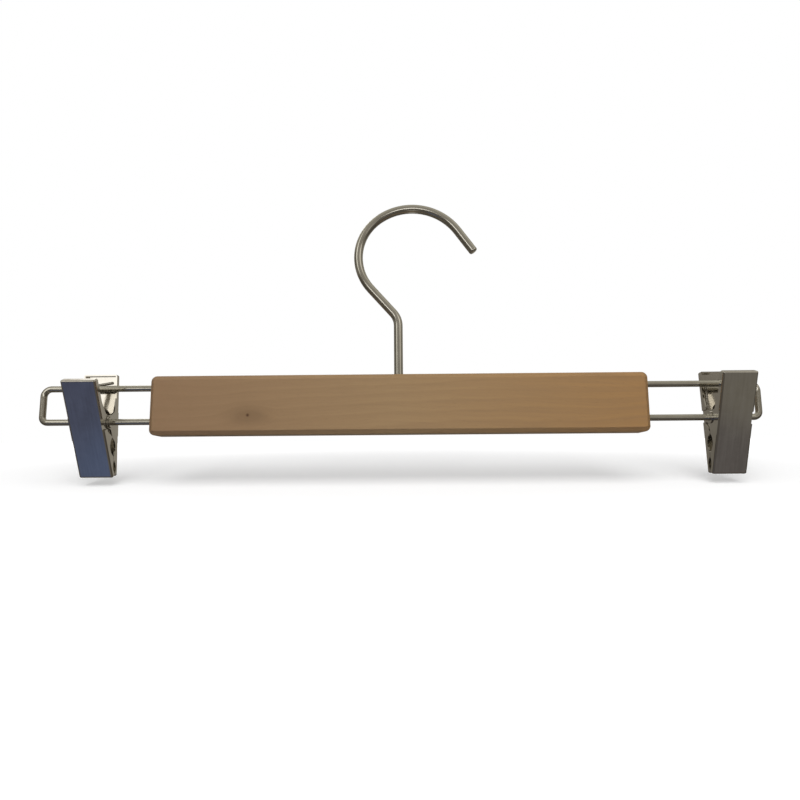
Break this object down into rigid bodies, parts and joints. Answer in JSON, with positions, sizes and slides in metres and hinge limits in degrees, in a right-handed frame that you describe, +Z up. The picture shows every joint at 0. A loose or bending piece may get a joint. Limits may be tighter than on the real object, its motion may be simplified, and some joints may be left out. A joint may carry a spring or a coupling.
{
  "type": "skirt hanger",
  "caption": "Skirt hanger: a lacquered wooden bar on a swivelling wire hook, with a sprung metal clip that slides on a wire loop at each end.",
  "frame": {"origin": "the inside of the hook's bend on the swivel axis, where the hanger hangs on a rail", "axes": "+X along the bar towards the hook's open side, +Y to the back, +Z up"},
  "size_m": [0.32, 0.0245, 0.1251],
  "materials": {
    "lacquered_wood": "clear satin lacquer",
    "hook_wire": "satin nickel plate",
    "loop_wire": "satin nickel plate",
    "clip_plating": "bright nickel plate on pressed sheet",
    "spring_wire": "drawn spring wire",
    "rivet_plating": "bright nickel plate",
    "washer_steel": "zinc plate"
  },
  "bodies": {
    "hook": {"hook": "hook_wire", "hook_washer": "washer_steel"},
    "bar": {"wooden_bar": "lacquered_wood", "hook_plug": "lacquered_wood", "left_wire_loop": "loop_wire", "right_wire_loop": "loop_wire"},
    "left_clip_slider": {"left_hinge_tube": "rivet_plating"},
    "left_clip_carrier": {"left_spring": "spring_wire"},
    "left_front_jaw": {"left_front_jaw": "clip_plating"},
    "left_rear_jaw": {"left_rear_jaw": "clip_plating"},
    "right_clip_slider": {"right_hinge_tube": "rivet_plating"},
    "right_clip_carrier": {"right_spring": "spring_wire"},
    "right_front_jaw": {"right_front_jaw": "clip_plating"},
    "right_rear_jaw": {"right_rear_jaw": "clip_plating"}
  },
  "joints": [
    {"name": "hook_swivel", "type": "hinge", "parent": "hook", "child": "bar", "pos_m": [0, 0, -0.07566], "axis": [0, 0, 1], "continuous": true},
    {"name": "left_clip_slide", "type": "slide", "parent": "bar", "child": "left_clip_slider", "axis": [1, 0, 0], "range_m": [-0.0124, 0.0176]},
    {"name": "left_clip_tilt", "type": "hinge", "parent": "left_clip_slider", "child": "left_clip_carrier", "pos_m": [-0.1353, 0, -0.09546], "axis": [1, 0, 0], "range_deg": [-30.8, 0]},
    {"name": "left_front_jaw_open", "type": "hinge", "parent": "left_clip_carrier", "child": "left_front_jaw", "pos_m": [-0.1353, 0, -0.09546], "axis": [-1, 0, 0], "range_deg": [0, 6.5], "stiffness_Nm_per_rad": 0.05, "springref_deg": -20.05, "deforming": ["left_spring"]},
    {"name": "left_rear_jaw_open", "type": "hinge", "parent": "left_clip_carrier", "child": "left_rear_jaw", "pos_m": [-0.1353, 0, -0.09546], "axis": [1, 0, 0], "range_deg": [0, 6.5], "deforming": ["left_spring"]},
    {"name": "right_clip_slide", "type": "slide", "parent": "bar", "child": "right_clip_slider", "axis": [1, 0, 0], "range_m": [-0.0269, 0.0032]},
    {"name": "right_clip_tilt", "type": "hinge", "parent": "right_clip_slider", "child": "right_clip_carrier", "pos_m": [0.1445, 0, -0.09546], "axis": [1, 0, 0], "range_deg": [-24.2, 6.6]},
    {"name": "right_front_jaw_open", "type": "hinge", "parent": "right_clip_carrier", "child": "right_front_jaw", "pos_m": [0.1445, 0, -0.09546], "axis": [-1, 0, 0], "range_deg": [0, 6.5], "stiffness_Nm_per_rad": 0.05, "springref_deg": -20.05, "deforming": ["right_spring"]},
    {"name": "right_rear_jaw_open", "type": "hinge", "parent": "right_clip_carrier", "child": "right_rear_jaw", "pos_m": [0.1445, 0, -0.09546], "axis": [1, 0, 0], "range_deg": [0, 6.5], "deforming": ["right_spring"]}
  ],
  "couplings": [
    {"joint": "left_rear_jaw_open", "follows": "left_front_jaw_open", "ratio": 1},
    {"joint": "right_rear_jaw_open", "follows": "right_front_jaw_open", "ratio": 1}
  ]
}
